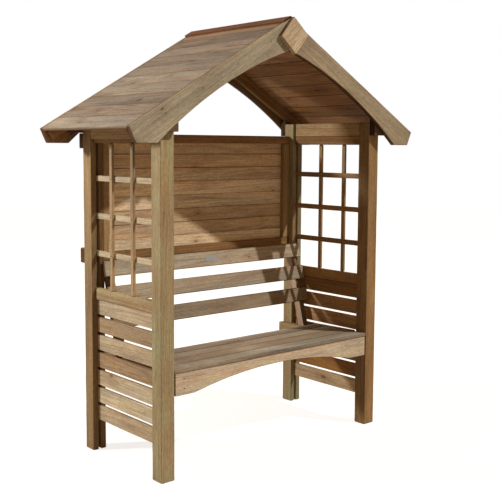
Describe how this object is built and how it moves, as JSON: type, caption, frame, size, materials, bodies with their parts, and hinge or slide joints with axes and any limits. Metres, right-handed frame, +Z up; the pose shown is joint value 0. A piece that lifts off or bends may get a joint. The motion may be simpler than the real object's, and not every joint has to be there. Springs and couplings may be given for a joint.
{
  "type": "garden arbour seat",
  "caption": "Timber garden bench with raked slatted back, set between trellis sides under a pitched boarded roof with arched bargeboards.",
  "frame": {"origin": "on the ground at the middle of the outline", "axes": "+X to the sitter's left as seen from the front (right in a front view), +Y to the back, +Z up; the open front faces -Y"},
  "size_m": [1.852, 0.843, 2.1642],
  "materials": {
    "frame_timber": "sawn softwood, pressure treated, greenish tan",
    "board_timber": "planed softwood boards, pressure treated",
    "trellis_bars": "planed softwood bars, pressure treated",
    "seat_timber": "planed softwood, pressure treated, pinkish tan",
    "roof_boarding": "planed softwood boarding, pressure treated",
    "barge_timber": "planed softwood, pressure treated, light",
    "ridge_timber": "planed softwood, reddish heartwood"
  },
  "bodies": {
    "root": {"front_left_post": "frame_timber", "front_right_post": "frame_timber", "rear_left_upright": "frame_timber", "rear_right_upright": "frame_timber", "back_left_leg": "frame_timber", "back_right_leg": "frame_timber", "left_mid_rail": "frame_timber", "right_mid_rail": "frame_timber", "left_head_rail": "frame_timber", "right_head_rail": "frame_timber", "left_top_plate": "frame_timber", "right_top_plate": "frame_timber", "left_eaves_strip": "frame_timber", "right_eaves_strip": "frame_timber", "left_trellis": "trellis_bars", "right_trellis": "trellis_bars", "left_side_slats": "board_timber", "right_side_slats": "board_timber", "back_panel_top_rail": "frame_timber", "back_panel_low_rail": "frame_timber", "back_panel_stiles": "frame_timber", "back_panel_boards": "board_timber", "back_top_batten": "frame_timber", "back_low_batten": "frame_timber", "seat_boarding": "seat_timber", "seat_apron": "seat_timber", "left_seat_bearer": "frame_timber", "right_seat_bearer": "frame_timber", "seat_rear_rail": "frame_timber", "seat_middle_bearer": "frame_timber", "seat_back_slats": "seat_timber", "left_back_bracket": "frame_timber", "right_back_bracket": "frame_timber", "roof_left_deck": "roof_boarding", "roof_right_deck": "roof_boarding", "ridge_caps": "ridge_timber", "front_left_bargeboard": "barge_timber", "front_right_bargeboard": "barge_timber", "rear_left_bargeboard": "barge_timber", "rear_right_bargeboard": "barge_timber", "front_rafters": "frame_timber", "rear_rafters": "frame_timber", "eaves_blocks": "frame_timber", "front_apex_plate": "barge_timber", "rear_apex_plate": "barge_timber"}
  },
  "joints": []
}
